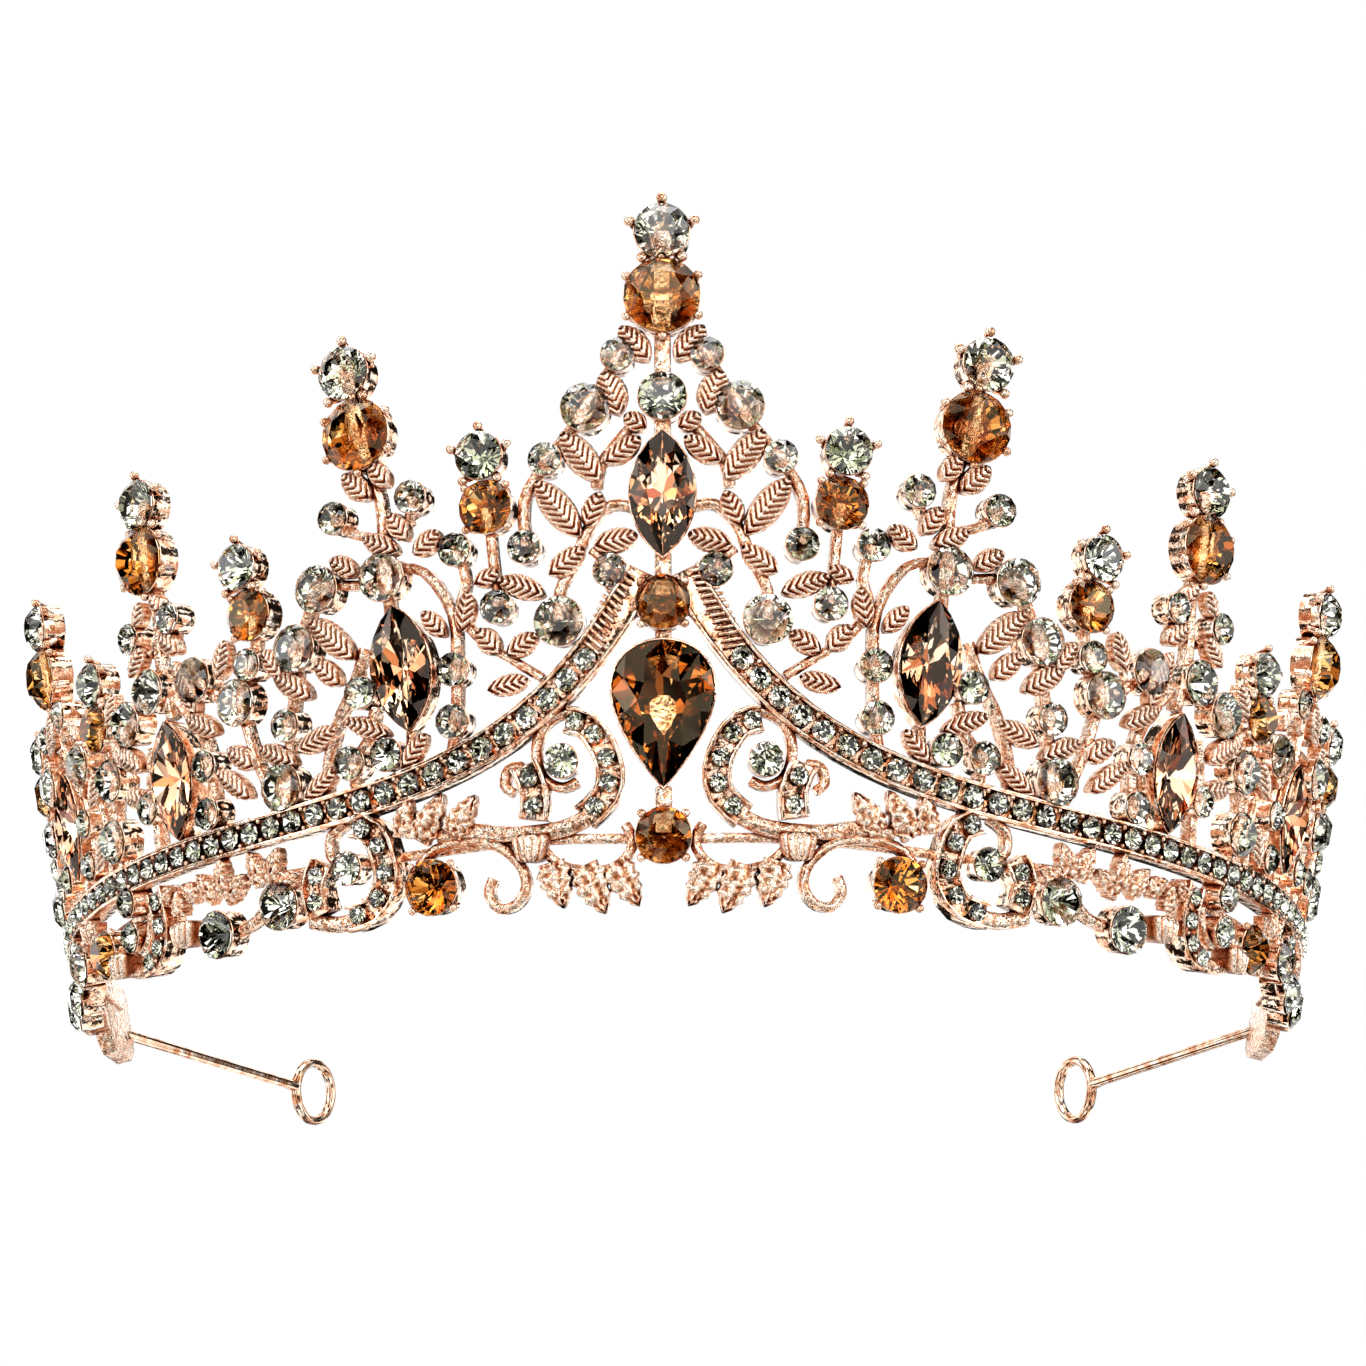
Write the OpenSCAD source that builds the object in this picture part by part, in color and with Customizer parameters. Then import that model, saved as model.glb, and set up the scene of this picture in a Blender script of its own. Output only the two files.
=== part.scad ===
// Bridal tiara: an open, outward-leaning metal band of tall and short spires, branches,
// leaves and scrolls, set with clear and champagne stones, with a wire loop at each end.
//
// The band's wall is a leaning strip over an open ellipse. A place on the wall is [u, v]:
// u runs along the foot from the middle of the front, v runs up the wall. The left side
// mirrors the right one. The origin is in the middle of the foot, and the front faces -Y.

/* [Band] */
// Half of the band's width at its foot
half_width = 67; // [62:0.5:72]
// Half of the band's depth at its foot
half_depth = 57.5; // [53:0.5:62]
// Angle at which the wall leans outward
lean = 15.5; // [12:0.5:18]
// Thickness of the cast metal
metal_t = 2.2; // [1.8:0.1:2.6]
// Thickness of the branches and stems, front to back
branch_t = 1.5; // [1.2:0.1:1.8]

/* [Stones] */
// Outer radius of the middle champagne stone's cup
centre_cup_r = 3.6; // [3:0.1:3.7]
// Outer radius of a tall spire's champagne cup
tall_cup_r = 3.5; // [2.9:0.1:3.6]
// Outer radius of a tall spire's clear cup
tip_cup_r = 2.65; // [2.2:0.05:2.7]
// Outer radius of a short spire's champagne cup
short_cup_r = 2.55; // [2.1:0.05:2.6]
// Outer radius of a medium clear cup
medium_cup_r = 2.3; // [1.9:0.05:2.35]
// Outer radius of a small clear cup
small_cup_r = 1.6; // [1.3:0.05:1.65]
// Thickness of a cup's wall
cup_wall = 0.3; // [0.25:0.05:0.35]
// Radius of the small stones set side by side in the ribbon
pave_r = 1; // [0.8:0.05:1]
// Distance from one ribbon stone to the next
pave_pitch = 2.45; // [2.3:0.05:2.8]

/* [Ribbon] */
// Width of the stone-set ribbon
ribbon_w = 2.9; // [2.7:0.1:3.2]
// Height of the ribbon along the sides
ribbon_low = 10.5; // [10:0.5:11.5]
// How far the ribbon climbs towards the middle
ribbon_rise = 24; // [22:0.5:25]
// How quickly the ribbon climbs
ribbon_bend = 10; // [9:0.5:11]

/* [End loops] */
// Diameter of the loops' wire
wire_d = 1.2; // [1:0.1:1.5]
// Radius of the hole in each loop
loop_hole_r = 3.2; // [2.8:0.1:3.5]
// Length of each arm, from the end plate to its loop
arm_length = 33; // [28:1:36]

/* [Hidden] */
$fn = 48;
GAP = 0.03;
rose = "#e8b49c";
champagne = "#c07a3c";
peach = "#e8a888";
clear = "#dfe4e0";

// The foot's middle lies this far behind the middle of the overall depth.
centre_y = 17.2;

// Angle around the ellipse for each distance along its foot
function foot_speed(t) = sqrt(pow(half_width * cos(t), 2) + pow(half_depth * sin(t), 2)) * PI / 180;
FOOT = [for (t = 0, s = 0; t <= 125; s = s + foot_speed(t + 0.5), t = t + 1) [s, t]];
function angle_at(u) = sign(u) * lookup(abs(u), FOOT);
function heading(t) = atan2(half_depth * sin(t), half_width * cos(t));

// A point in space: u along the foot, v up the wall, out in front of the metal's face
function wall_point(u, v, out) =
    let (t = angle_at(u), h = heading(t), away = v * sin(lean) + out * cos(lean))
    [half_width * sin(t) + away * sin(h),
     centre_y - half_depth * cos(t) - away * cos(h),
     v * cos(lean) - out * sin(lean)];

// Puts a piece drawn in the XY plane flat against the wall, with its +Z facing outward
module on_wall(place) {
    t = angle_at(place.x);
    translate(wall_point(place.x, place.y, 0))
        rotate([0, 0, heading(t)])
            rotate([90 + lean, 0, 0])
                children();
}

module both_sides() {
    children();
    mirror([1, 0, 0]) children();
}

module at_each(places) {
    for (place = places) on_wall(place) children();
}

// ---- Where the stones sit on the right half ----
CENTRE_CUP = [0, 56.5];
CENTRE_TIP = [0, 62.7];
CENTRE_MEDIUM = [0, 47];
CENTRE_MARQUISE = [0, 38];
CENTRE_SHORT = [[0, 28], [0, 7.2]];
PEAR = [0, 18];

TALL_TIPS = [[26, 52.5], [49, 46.5], [71, 42.5]];
TALL_CUPS = [[25.3, 46.3], [49.5, 40.8], [71.3, 36.8]];
SHORT_TIPS = [[14.8, 42.5], [38, 36.5], [60, 31.5], [81.5, 32]];
SHORT_CUPS = [[14.4, 37.6], [37.2, 31.6], [60.2, 26.8], [81.5, 27.2]];
LOW_CUPS = [[20.8, 3.6], [65, 4.4]];
// Marquise stones: place, and tilt of the upper tip towards the ends
MARQUISES = [[[22.5, 23.7], 5], [[48.7, 18.2], 0], [[70, 19.5], 0]];
MEDIUMS = [
    [6.1, 46.2], [8.6, 26.6], [23.8, 32.4], [30, 32.4], [32.7, 27.3], [35.3, 14.6],
    [39.6, 23.6], [44.4, 27], [50.6, 27.6], [54.6, 25.5], [58.8, 20.9], [59.6, 14.8],
    [65, 24.6], [76, 26], [80, 21.5], [87, 24], [91, 18], [85, 15],
    [36.8, 3.8], [44.9, 2.4], [74, 5.5], [79, 3.2], [84.5, 3]
];
SMALLS = [
    [3.5, 51], [9.4, 41.6], [4.3, 31], [11.3, 33.6], [17.2, 34], [13.8, 28.3],
    [20.8, 39.5], [27.9, 38.8], [17.8, 23], [18.1, 18.3], [26.5, 22], [34.3, 20.3],
    [24.4, 16], [28, 15.7], [37.9, 26.9], [46.8, 34], [52.6, 33.7], [44.2, 18.5],
    [44.4, 13.9], [52.8, 16.3], [68.5, 31.5], [75.3, 31.3], [65.8, 18.5], [66, 14],
    [74.3, 15], [79, 15.5], [85.8, 20], [95, 14],
    [8.7, 14], [29.1, 6.2], [58.7, 8.3], [58.9, 4.8]
];

// ---- Ribbon ----
function ribbon_v(u) = ribbon_low + ribbon_rise * exp(-u / ribbon_bend);
function ribbon_slope(u) = -ribbon_rise / ribbon_bend * exp(-u / ribbon_bend);
function ribbon_next(u) = u + pave_pitch / sqrt(1 + pow(ribbon_slope(u), 2));
ribbon_top_u = 1.6;
ribbon_end_u = 93;
RIBBON = [for (u = ribbon_top_u; u < ribbon_end_u; u = ribbon_next(u)) [u, ribbon_v(u)]];
// The first stretch of the ribbon, beside the middle stones, carries no stones.
plain_length = 7.5;

// ---- Smooth paths over the wall ----
function spline(a, b, c, d, s) =
    (2 * b + (c - a) * s + (2 * a - 5 * b + 4 * c - d) * s * s
     + (3 * b - a - 3 * c + d) * s * s * s) / 2;
function smooth(p, steps) = let (last = len(p) - 1) concat(
    [for (i = [0 : last - 1], k = [0 : steps - 1])
        spline(p[max(i - 1, 0)], p[i], p[i + 1], p[min(i + 2, last)], k / steps)],
    [p[last]]);
// Unit direction across a path at its point i
function across(p, i) =
    let (d = p[min(i + 1, len(p) - 1)] - p[max(i - 1, 0)]) [-d.y, d.x] / norm(d);
function travelled(p, i) = i == 0 ? 0 : travelled(p, i - 1) + norm(p[i] - p[i - 1]);

// A strand of metal along a path: profile points are [across, outward]
module strand(path, profile, cap) {
    rings = len(path);
    m = len(profile);
    points = [for (i = [0 : rings - 1]) let (side = across(path, i))
        for (q = profile) let (w = path[i] + side * q.x) wall_point(w.x, w.y, q.y)];
    walls = [for (i = [0 : rings - 2], j = [0 : m - 1]) let (k = (j + 1) % m)
        [i * m + j, (i + 1) * m + j, (i + 1) * m + k, i * m + k]];
    start = [for (f = cap) f];
    finish = [for (f = cap) [for (j = [len(f) - 1 : -1 : 0]) f[j] + (rings - 1) * m]];
    polyhedron(points, concat(start, walls, finish), convexity = 6);
}

// A plain wire with a raised middle
module branch(path, w = 0.9, steps = 3) {
    profile = [[-w / 2, -metal_t + 0.3], [w / 2, -metal_t + 0.3], [w / 2, -metal_t + branch_t],
               [0, -metal_t + branch_t + 0.35], [-w / 2, -metal_t + branch_t]];
    strand(smooth(path, steps), profile, [[0, 1, 2, 3, 4]]);
}

// A channel with two raised rims, which holds a row of stones
module channel(path, w) {
    outer = w / 2;
    inner = outer - 0.38;
    floor_z = -0.45;
    rim_z = 0.25;
    profile = [[-outer, -metal_t], [outer, -metal_t], [outer, rim_z], [inner, rim_z],
               [inner, floor_z], [-inner, floor_z], [-inner, rim_z], [-outer, rim_z]];
    strand(path, profile, [[0, 1, 4, 5], [1, 2, 3, 4], [0, 5, 6, 7]]);
}

// ---- Stones and cups ----
function stone_r(cup_r) = cup_r - cup_wall - GAP;
seat_depth = 1.1;
rim_z = 0.2;
girdle_t = 0.12;

// A round cut stone: flat table, sloping crown, girdle, and a shallow cone behind
module round_stone(r) {
    rotate_extrude()
        polygon([[0, -min(0.45 * r, seat_depth - 0.1)], [r, 0], [r, girdle_t],
                 [0.56 * r, girdle_t + 0.52 * r], [0, girdle_t + 0.52 * r]]);
}

// A cup with a round seat, slightly narrower behind
module cup(r) {
    rotate_extrude()
        polygon([[0, -metal_t], [r * 0.94, -metal_t], [r, rim_z], [r - cup_wall, rim_z],
                 [r - cup_wall, -seat_depth], [0, -seat_depth]]);
}

// Small balls of metal that hold a stone, spread evenly around its cup
module claws(r, count, ball, first = 90) {
    for (i = [0 : count - 1])
        rotate([0, 0, first + i * 360 / count])
            translate([r, 0, 0]) sphere(r = ball);
}

// Outline of a pointed oval, from arcs that meet at both tips
function oval(half_l, half_w, n) =
    let (arc_r = (half_l * half_l + half_w * half_w) / (2 * half_w), reach = asin(half_l / arc_r))
    concat(
        [for (i = [0 : n - 1]) let (a = -reach + 2 * reach * i / n)
            [arc_r * cos(a) - (arc_r - half_w), arc_r * sin(a)]],
        [for (i = [0 : n - 1]) let (a = -reach + 2 * reach * i / n)
            [(arc_r - half_w) - arc_r * cos(a), -arc_r * sin(a)]]);

// Outline of a drop, point down, with its origin midway between point and crown
function drop(half_l, half_w, n) =
    [for (i = [0 : n - 1]) let (a = 360 * i / n)
        [1.3 * half_w * sin(a) * sin(a / 2), -half_l * cos(a)]];

// A cut stone over any outline: pavilion, girdle, crown and table
module cut_stone(outline, crown, depth, table) {
    n = len(outline);
    rings = [[1, 0], [1, 0.15], [0.82, 0.15 + crown * 0.6], [table, 0.15 + crown]];
    points = concat([for (ring = rings, p = outline) [p.x * ring[0], p.y * ring[0], ring[1]]],
                    [[0, 0, -depth]]);
    walls = [for (k = [0 : len(rings) - 2], i = [0 : n - 1]) let (j = (i + 1) % n)
        [k * n + i, (k + 1) * n + i, (k + 1) * n + j, k * n + j]];
    back = [for (i = [0 : n - 1]) [4 * n, i, (i + 1) % n]];
    top = [[for (i = [n - 1 : -1 : 0]) 3 * n + i]];
    polyhedron(points, concat(walls, back, top), convexity = 4);
}

// A wall of metal around a stone with any outline, closed behind it
module bezel(outer, inner) {
    difference() {
        translate([0, 0, -metal_t]) linear_extrude(metal_t + rim_z) polygon(outer);
        translate([0, 0, -seat_depth]) linear_extrude(seat_depth + 1) polygon(inner);
    }
}

marquise_l = 5.6;
marquise_w = 2.75;
pear_l = 6.3;
pear_w = 4.3;

// ---- Leaves ----
// A pointed blade from its base to its tip, w wide
module leaf(base, tip, w, front = 0.1, t = 1.3) {
    span = tip - base;
    half_l = norm(span) / 2;
    half_w = w / 2;
    arc_r = (half_l * half_l + half_w * half_w) / (2 * half_w);
    on_wall((base + tip) / 2)
        rotate([0, 0, atan2(span.y, span.x)])
            translate([0, 0, front - t])
                linear_extrude(t)
                    intersection() {
                        translate([0, arc_r - half_w]) circle(arc_r);
                        translate([0, half_w - arc_r]) circle(arc_r);
                    }
}

// Each leaf is [base, tip, width].
CREST_LEAVES = [
    [[8.2, 43.9], [4.9, 39.4], 2.3], [[10.3, 39.5], [6.6, 34.4], 2.3],
    [[4.7, 41], [1.6, 43.2], 1.8], [[4.9, 38.2], [6.3, 35.2], 1.7],
    [[1.9, 34.2], [5.7, 33.3], 1.9], [[6.3, 33.1], [9.4, 30.9], 1.9],
    [[9.6, 29.1], [13.7, 30.8], 1.8], [[3.4, 53.6], [0.9, 50.5], 2.1],
    [[4.7, 49.4], [3.3, 45.5], 2.4], [[3.1, 45.3], [1.2, 44.1], 1.6]
];
SHORT_LEAVES = [
    [[16.9, 26.5], [16.2, 29.9], 1.7], [[15.7, 30.6], [13.5, 31.6], 1.4],
    [[15.6, 26.4], [13.7, 24.1], 1.8], [[13.1, 23.9], [10.4, 25.5], 1.7],
    [[14.9, 20.8], [11.3, 21.5], 1.6], [[36.2, 27.8], [34, 24.8], 1.8],
    [[40.2, 29.8], [41.6, 26.4], 1.8], [[41.2, 19.4], [38.2, 17.2], 1.8],
    [[61.8, 22.8], [63.8, 19.6], 1.8], [[57.6, 24.4], [56.4, 21.6], 1.6],
    [[62.4, 16.4], [64, 12.8], 1.8], [[83.8, 23.4], [87.6, 21], 1.8],
    [[82.6, 19], [80.6, 16], 1.7], [[88.6, 18.6], [90.6, 15.2], 1.7]
];
TALL_LEAVES = [
    [[26.9, 42.7], [24.4, 40.1], 2], [[24.3, 43.2], [22.7, 41], 1.7],
    [[25.4, 36.3], [22.1, 34.6], 1.8], [[22.9, 38.2], [21.3, 35.6], 1.7],
    [[20.9, 34.1], [18.4, 35.9], 1.8], [[28.6, 34.9], [26, 33.2], 1.7],
    [[31.1, 29.6], [26.8, 25.4], 2.2], [[35.2, 25.2], [31.4, 22.5], 2],
    [[33.3, 17.7], [29.1, 19.1], 1.8], [[28.2, 19.6], [24, 17.8], 1.6],
    [[33, 13.1], [29.5, 15.3], 1.6], [[37.4, 18.7], [33.6, 16.6], 1.7],
    [[30.8, 25.6], [28.4, 23.2], 1.8],
    [[42.8, 17.6], [39, 14.4], 1.7], [[20.4, 28.6], [18.4, 26.2], 1.5],
    [[20.6, 17.4], [23, 14.6], 1.5], [[49, 36.9], [47.6, 34.9], 1.5],
    [[50.4, 36.8], [51.6, 34.6], 1.5], [[48.4, 32.6], [46, 30.4], 1.8],
    [[50.8, 32.2], [53.4, 30], 1.8], [[46.8, 29.4], [44.6, 23.9], 2.1],
    [[56.9, 23.2], [53.3, 20.6], 2], [[56.6, 18.4], [53.4, 17.6], 1.7],
    [[42.2, 21.4], [46, 23.6], 1.8], [[70.8, 33], [68.9, 29.6], 1.6],
    [[72.4, 33], [74.4, 29], 1.6], [[67.7, 26.9], [65.8, 21.6], 1.9],
    [[77.4, 22.6], [73.6, 20.4], 1.9], [[76.8, 18.2], [73.4, 17.2], 1.6],
    [[56.4, 29.2], [58.4, 26], 1.7], [[66.8, 30.2], [64.8, 27.4], 1.6],
    [[76.6, 30], [78.8, 27], 1.6], [[84.4, 28.6], [86.6, 25.6], 1.6],
    [[91.8, 21.4], [94.4, 18.4], 1.6]
];

// Under the ribbon: the lobes that hang from each bow, and single leaves and fans of leaves.
// Each fan is [root, reach, first angle, last angle, blades, width].
LOBES = [
    [[9.9, 5.1], [8.8, 1], 2.3], [[7, 4.7], [5.1, 0.4], 2.4], [[4.4, 4.9], [2.1, 1], 2.2]
];
ACANTHUS_LEAVES = [
    [[21.9, 8], [19.4, 11.8], 2.1], [[18.8, 8.3], [16.4, 11.4], 2],
    [[23.4, 8.4], [22.7, 11.8], 1.9]
];
ACANTHUS_FANS = [
    [[38.4, 5.4], 4.2, 68, 168, 3, 2.2], [[44.2, 5.2], 4.2, 50, 150, 3, 2.2],
    [[50, 8.4], 3.3, 215, 335, 3, 2], [[70.4, 6.2], 4, 20, 150, 4, 1.9],
    [[89, 5.8], 4, 30, 160, 4, 1.9]
];
SHELLS = [[11.6, 6.4], [49.6, 3.2], [62, 2.6], [94, 4]];

module fan(root, reach, from, to, blades, w) {
    for (i = [0 : blades - 1]) {
        a = from + (to - from) * i / (blades - 1);
        way = [cos(a), sin(a)];
        leaf(root + way * 0.9, root + way * reach, w * 0.8);
    }
}

// ---- Branches: smooth paths between the cups ----
CREST_STEMS = [
    [[1.6, 53.4], [3.5, 51], [6.1, 46.2], [9.4, 41.6], [11.4, 38], [11.3, 33.6]],
    [[2.4, 37], [4.2, 37.2], [5.9, 35.6], [7.2, 32.4], [8.6, 29.4], [8.6, 26.6]],
    [[1.9, 45.2], [3.4, 43.3], [5, 41], [5.4, 38.8]],
    [[4.3, 31], [4.9, 32.2], [5.9, 33.2]]
];
SHORT_STEMS = [
    [[17.2, 34], [16.6, 31], [17.2, 28.4], [15.4, 25.4], [13, 23.6], [10.2, 21.6]],
    [[14.4, 37.6], [14.2, 33], [13.8, 28.3]],
    [[37.2, 31.6], [37.8, 27], [39.6, 23.6], [38.6, 18], [37, 13.4], [36.8, 11]],
    [[44.4, 27], [42.2, 24.6], [40.2, 23.9]],
    [[60.2, 26.8], [60, 23], [58.8, 20.9], [60.4, 17.6], [59.6, 14.8], [59.4, 11.2]],
    [[65, 24.6], [63.4, 21.4], [62.4, 16], [62.8, 11.2]],
    [[81.5, 27.2], [80.4, 24], [80, 21.5], [79, 15.5], [79, 11.2]],
    [[87, 24], [85.8, 20], [85, 15], [85.2, 11.2]],
    [[91, 18], [92.6, 15], [91.6, 11.2]]
];
TALL_STEMS = [
    [[26, 52.5], [25.3, 46.3], [23.9, 40], [23.8, 35], [23.6, 29]],
    [[20.8, 39.5], [21.4, 37.6], [23.2, 36.8]],
    [[27.9, 38.8], [26.6, 37.2], [24.6, 36.4]],
    [[22.9, 33.2], [20.2, 32.4], [17.9, 28.2], [17.8, 23], [18.1, 18.3], [18.8, 14.6]],
    [[24.6, 31.8], [30, 32.4], [32.7, 27.3], [34.3, 20.3], [35.3, 14.6], [35.4, 11.2]],
    [[26.2, 26.2], [27.6, 22.8], [29.6, 19.4], [31, 15], [31.2, 11.6]],
    [[25.6, 20.6], [26.4, 17.8], [28, 15.7], [28, 12]],
    [[22.2, 18], [22.4, 15.4], [22.6, 13.2]],
    [[49, 46.5], [49.5, 40.8], [49.2, 35], [49.6, 30], [48.9, 24.4]],
    [[46.8, 34], [47.4, 32.4], [48.8, 31.6]],
    [[52.6, 33.7], [51.6, 32.2], [50.2, 31.4]],
    [[51.4, 27.2], [54.6, 25.5], [57, 23.4], [58.2, 21.6]],
    [[47.8, 26], [45, 22], [44.2, 18.5], [44.4, 13.9], [44.4, 11]],
    [[52.2, 22.4], [53.2, 18.6], [52.8, 16.3], [53.2, 11]],
    [[48.7, 12.4], [48.7, 10.8]],
    [[71, 42.5], [71.3, 36.8], [71, 31], [70.4, 25.8]],
    [[68.5, 31.5], [69.4, 29.6], [70.6, 29]],
    [[75.3, 31.3], [74, 29.4], [71.8, 28.6]],
    [[71.2, 27], [74, 27.2], [76, 26], [78.2, 23.2], [79.4, 22]],
    [[69, 26], [66.8, 22.6], [65.8, 18.5], [66, 14], [66.2, 11]],
    [[73.2, 22.6], [74.6, 18.8], [74.3, 15], [74.4, 11]],
    [[70, 13.8], [70, 11]]
];

// Stone-set scrolls under the ribbon, each a short curled channel
SCROLLS = [
    [[8.3, 17.7], [6.6, 17.2], [5.2, 15.3], [4.5, 13], [4.9, 10.8], [6.9, 8.9]],
    [[12, 13.9], [11.1, 11.4], [11.3, 8.9]],
    [[28.2, 10.1], [26.2, 9.1], [25.3, 6.6], [25.2, 4.2], [27, 2.1], [29.4, 1.6]],
    [[31.8, 7], [32.9, 4.8], [32.4, 2.4]],
    [[53.6, 8.4], [53.2, 6], [53.3, 3.6], [54.6, 1.9], [56.8, 1.6]],
    [[75.4, 8.8], [76.4, 6.8], [76.4, 4.6], [75.6, 2.6]]
];
// Plain curls beside them
CURLS = [
    [[7.9, 18.6], [9.9, 17.7], [10.9, 15.9], [10.9, 13.8], [10.1, 12.3], [8.7, 11.7],
     [7.4, 12.2]],
    [[12.2, 13.8], [13.5, 13.6], [13.9, 12.2], [13.1, 11.4]],
    [[3.4, 8.3], [2.7, 6.8], [3.4, 5.2], [5, 4.3], [7.2, 4.3], [9.2, 4.9], [10.6, 6.2]],
    [[22.3, 5.6], [20.6, 7], [17.8, 7.4], [15, 6.9], [12.9, 5.2], [12.3, 3.2], [13.2, 1.6],
     [14.8, 1.3], [15.8, 2.6], [15.3, 4]],
    [[29.4, 10.4], [31, 9.4], [31.2, 7.6], [30.2, 6.9]],
    [[38.6, 4.6], [40.4, 3], [42.6, 2.4]],
    [[55.8, 6.6], [56.6, 4.4], [58.2, 3.4], [61, 3.6]],
    [[67.6, 5], [69.4, 3.2], [72, 3.6]],
    [[86.4, 4], [88.4, 6.6], [91.2, 6.8]]
];
// Broad tails that the scrolls run out into
TAILS = [
    [[6.3, 9.2], [8.4, 8.2], [11, 7.8], [14, 7.8], [17, 8.3], [20.4, 8.2]],
    [[28.6, 1.6], [31, 1.3], [34, 2]],
    [[56.4, 1.7], [59.2, 1.4], [61.8, 2]]
];
RAIL = [for (u = [0 : 4 : 100]) [u, 6.9 + 0.3 * sin(u * 9)]];

// ---- Stones ----
module pear_stone()
    color(champagne) on_wall(PEAR) cut_stone(drop(pear_l, pear_w, 24), 1.5, 0.9, 0.5);

module marquise_stones()
    color(peach) {
        on_wall(CENTRE_MARQUISE) cut_stone(oval(marquise_l, marquise_w, 8), 1.2, 0.9, 0.45);
        both_sides() for (m = MARQUISES) on_wall(m[0]) rotate([0, 0, -m[1]])
            cut_stone(oval(marquise_l, marquise_w, 8), 1.2, 0.9, 0.45);
    }

module champagne_stones_large()
    color(champagne) {
        on_wall(CENTRE_CUP) round_stone(stone_r(centre_cup_r));
        both_sides() at_each(TALL_CUPS) round_stone(stone_r(tall_cup_r));
    }

module champagne_stones_small()
    color(champagne) {
        at_each(CENTRE_SHORT) round_stone(stone_r(short_cup_r));
        both_sides() at_each(concat(SHORT_CUPS, LOW_CUPS)) round_stone(stone_r(short_cup_r));
    }

module clear_stones_large()
    color(clear) {
        on_wall(CENTRE_TIP) round_stone(stone_r(tip_cup_r));
        both_sides() at_each(TALL_TIPS) round_stone(stone_r(tip_cup_r));
    }

module clear_stones_medium()
    color(clear) {
        on_wall(CENTRE_MEDIUM) round_stone(stone_r(medium_cup_r));
        both_sides() at_each(concat(MEDIUMS, SHORT_TIPS)) round_stone(stone_r(medium_cup_r));
    }

module clear_stones_small()
    color(clear) both_sides() at_each(SMALLS) round_stone(stone_r(small_cup_r));

// A shallow stone that rests on the floor of a channel
module pave_stone(r)
    translate([0, 0, -0.45])
        rotate_extrude() polygon([[0, 0], [r * 0.8, 0], [r, 0.45], [0.6 * r, 0.85], [0, 0.85]]);

module ribbon_stones()
    color(clear) both_sides()
        for (i = [1 : len(RIBBON) - 2])
            if (travelled(RIBBON, i) > plain_length) on_wall(RIBBON[i]) pave_stone(pave_r);

scroll_w = 2.5;
scroll_stone_r = 0.8;
module scroll_stones()
    color(clear) both_sides()
        for (s = SCROLLS, i = [0 : len(s) - 2]) on_wall((s[i] + s[i + 1]) / 2)
            pave_stone(scroll_stone_r);

// ---- Cups ----
module pear_bezel()
    color(rose) on_wall(PEAR)
        bezel(drop(pear_l + 0.5, pear_w + 0.45, 32), drop(pear_l + 0.06, pear_w + 0.06, 32));

module marquise_bezels() {
    outer = oval(marquise_l + 0.45, marquise_w + 0.35, 12);
    inner = oval(marquise_l + 0.06, marquise_w + 0.06, 12);
    color(rose) {
        on_wall(CENTRE_MARQUISE) bezel(outer, inner);
        both_sides() for (m = MARQUISES) on_wall(m[0]) rotate([0, 0, -m[1]]) bezel(outer, inner);
    }
}

module champagne_cups_large()
    color(rose) {
        on_wall(CENTRE_CUP) cup(centre_cup_r);
        both_sides() at_each(TALL_CUPS) cup(tall_cup_r);
    }

module champagne_cups_small()
    color(rose) {
        at_each(CENTRE_SHORT) cup(short_cup_r);
        both_sides() at_each(concat(SHORT_CUPS, LOW_CUPS)) cup(short_cup_r);
    }

module clear_cups_large()
    color(rose) {
        on_wall(CENTRE_TIP) cup(tip_cup_r);
        both_sides() at_each(TALL_TIPS) cup(tip_cup_r);
    }

module clear_cups_medium()
    color(rose) {
        on_wall(CENTRE_MEDIUM) cup(medium_cup_r);
        both_sides() at_each(concat(MEDIUMS, SHORT_TIPS)) cup(medium_cup_r);
    }

module clear_cups_small()
    color(rose) both_sides() at_each(SMALLS) cup(small_cup_r);

claw_out = 0.5;
module tip_claws()
    color(rose) {
        on_wall(CENTRE_TIP) claws(tip_cup_r + claw_out, 5, 0.5);
        both_sides() {
            at_each(TALL_TIPS) claws(tip_cup_r + claw_out, 5, 0.5);
            at_each(SHORT_TIPS) claws(medium_cup_r + claw_out, 5, 0.45);
        }
    }

module cup_claws()
    color(rose) {
        on_wall(CENTRE_CUP) claws(centre_cup_r + 0.2, 6, 0.45);
        at_each(CENTRE_SHORT) claws(short_cup_r + 0.2, 4, 0.4, 45);
        both_sides() {
            at_each(TALL_CUPS) claws(tall_cup_r + 0.2, 6, 0.45);
            at_each(concat(SHORT_CUPS, LOW_CUPS)) claws(short_cup_r + 0.2, 4, 0.4, 45);
        }
    }

// ---- Cast metal ----
module centre_spine()
    color(rose) {
        spine_w = 1.5;
        heights = [[62.7, 57], [56, 48], [46, 43], [33, 28.6], [26, 23.5], [11.6, 7.4]];
        for (h = heights)
            on_wall([0, (h[0] + h[1]) / 2]) translate([-spine_w / 2, -(h[0] - h[1]) / 2, -metal_t + 0.2])
                cube([spine_w, h[0] - h[1], branch_t]);
    }

module crest_stems() color(rose) both_sides() for (p = CREST_STEMS) branch(p, 1);
module short_spire_stems() color(rose) both_sides() for (p = SHORT_STEMS) branch(p, 0.9);
module tall_spire_stems() color(rose) both_sides() for (p = TALL_STEMS) branch(p, 0.9);
module crest_leaves() color(rose) both_sides() for (l = CREST_LEAVES) leaf(l[0], l[1], l[2]);
module short_spire_leaves() color(rose) both_sides() for (l = SHORT_LEAVES) leaf(l[0], l[1], l[2]);
module tall_spire_leaves() color(rose) both_sides() for (l = TALL_LEAVES) leaf(l[0], l[1], l[2]);

module bow_leaves() color(rose) both_sides() for (l = LOBES) leaf(l[0], l[1], l[2]);
module acanthus_leaves() color(rose) both_sides() {
    for (l = ACANTHUS_LEAVES) leaf(l[0], l[1], l[2]);
    for (f = ACANTHUS_FANS) fan(f[0], f[1], f[2], f[3], f[4], f[5]);
}

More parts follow.
